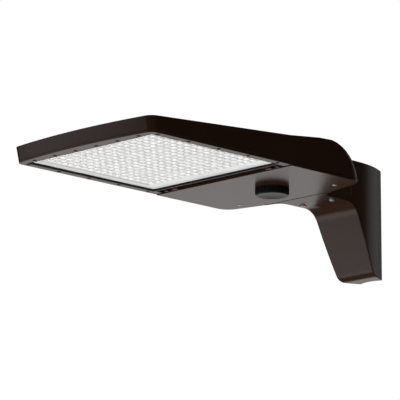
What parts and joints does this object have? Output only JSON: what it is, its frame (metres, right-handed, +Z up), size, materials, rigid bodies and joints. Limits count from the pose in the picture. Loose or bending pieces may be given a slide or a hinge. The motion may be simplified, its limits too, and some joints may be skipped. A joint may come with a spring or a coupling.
{
  "type": "shoebox area light",
  "caption": "Slim pole-mounted LED area light: wedge-shaped housing with a flat light window, an air slot, a hinged wiring door with a twist-lock cap, and a pole arm.",
  "frame": {"origin": "middle of the two pole bolts, on the bottom of the round seat in the arm's pole end", "axes": "+Y from the light's front edge towards the pole, +Z up, +X to the right seen from the front; the light shines down, along -Z"},
  "size_m": [0.3398, 0.7178, 0.196],
  "materials": {
    "bronze_paint": "dark bronze powder coat, satin, fine texture",
    "black_steel": "blackened screws, satin",
    "optic_acrylic": "clear moulded acrylic with a field of small optics",
    "grey_silicone": "matte silicone",
    "white_board": "white solder mask",
    "steel": "plain stainless",
    "driver_case": "plain aluminium case",
    "black_plastic": "black polycarbonate, fine matte",
    "white_plastic": "natural nylon",
    "brass": "plain brass"
  },
  "bodies": {
    "lamp": {"housing": "bronze_paint", "lens_frame": "bronze_paint", "frame_screws": "black_steel", "lens": "optic_acrylic", "lens_seal": "grey_silicone", "light_board": "white_board", "board_screws": "steel", "hinge_pins": "steel", "driver": "driver_case", "driver_screws": "steel", "surge_module": "black_plastic", "terminal_block": "white_plastic", "earth_screw": "brass", "arm": "bronze_paint", "arm_bolts": "steel", "neck_seal": "grey_silicone"},
    "door": {"door": "bronze_paint", "door_seal": "grey_silicone", "door_screws": "steel", "socket": "black_plastic", "socket_seal": "grey_silicone", "socket_screws": "steel"},
    "cap": {"cap": "black_plastic", "cap_blades": "brass"}
  },
  "joints": [
    {"name": "door_hinge", "type": "hinge", "parent": "lamp", "child": "door", "pos_m": [0, -0.376, 0.0315], "axis": [-1, 0, 0], "range_deg": [0, 90]},
    {"name": "cap_twist", "type": "hinge", "parent": "door", "child": "cap", "pos_m": [0.0185, -0.267, 0.0243], "axis": [0, 0, -1], "range_deg": [0, 20]}
  ]
}
